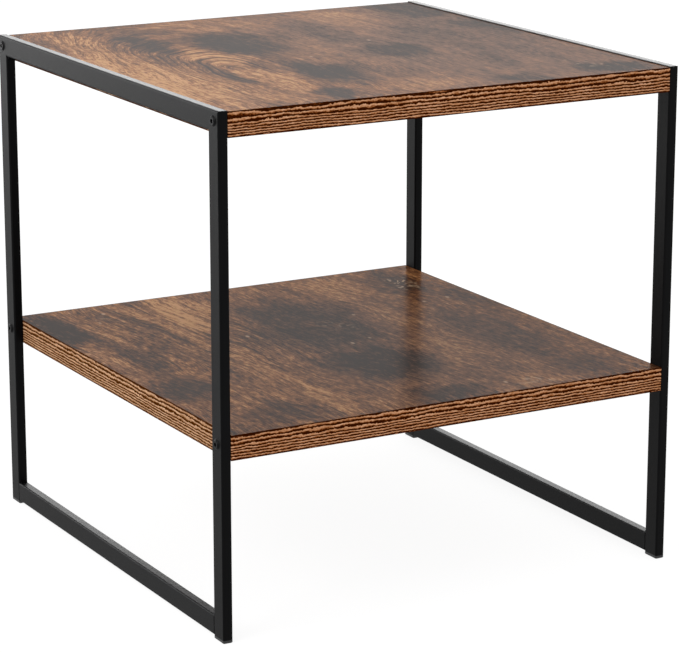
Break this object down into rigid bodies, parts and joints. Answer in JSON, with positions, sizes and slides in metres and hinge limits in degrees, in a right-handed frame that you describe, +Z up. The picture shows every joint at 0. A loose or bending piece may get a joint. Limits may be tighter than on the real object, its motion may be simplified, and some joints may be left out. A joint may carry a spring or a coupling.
{
  "type": "end table",
  "caption": "Square end table with a lower shelf: edge-banded boards bolted between closed side frames of black rectangular steel tube.",
  "frame": {"origin": "on the floor, under the middle of the table", "axes": "+X from the left side frame to the right one, +Y from front to back, +Z up"},
  "size_m": [0.5032, 0.5, 0.503],
  "materials": {
    "frame_tube": "satin black powder coat with a fine grain",
    "glide": "moulded black plastic",
    "board_face": "particle board with printed rustic brown wood faces",
    "edge_band": "plastic edge band printed with tan and dark brown grain",
    "bolt": "black finished steel",
    "insert": "bright zinc plated steel"
  },
  "bodies": {
    "root": {"left_bottom_rail": "frame_tube", "left_frame_welds": "frame_tube", "left_front_glide": "glide", "left_front_post": "frame_tube", "left_rear_glide": "glide", "left_rear_post": "frame_tube", "left_top_rail": "frame_tube", "right_bottom_rail": "frame_tube", "right_frame_welds": "frame_tube", "right_front_glide": "glide", "right_front_post": "frame_tube", "right_rear_glide": "glide", "right_rear_post": "frame_tube", "right_top_rail": "frame_tube", "shelf_board": "board_face", "shelf_bolts": "bolt", "shelf_front_band": "edge_band", "shelf_inserts": "insert", "shelf_left_band": "edge_band", "shelf_rear_band": "edge_band", "shelf_right_band": "edge_band", "tabletop_board": "board_face", "tabletop_bolts": "bolt", "tabletop_front_band": "edge_band", "tabletop_inserts": "insert", "tabletop_left_band": "edge_band", "tabletop_rear_band": "edge_band", "tabletop_right_band": "edge_band"}
  },
  "joints": []
}
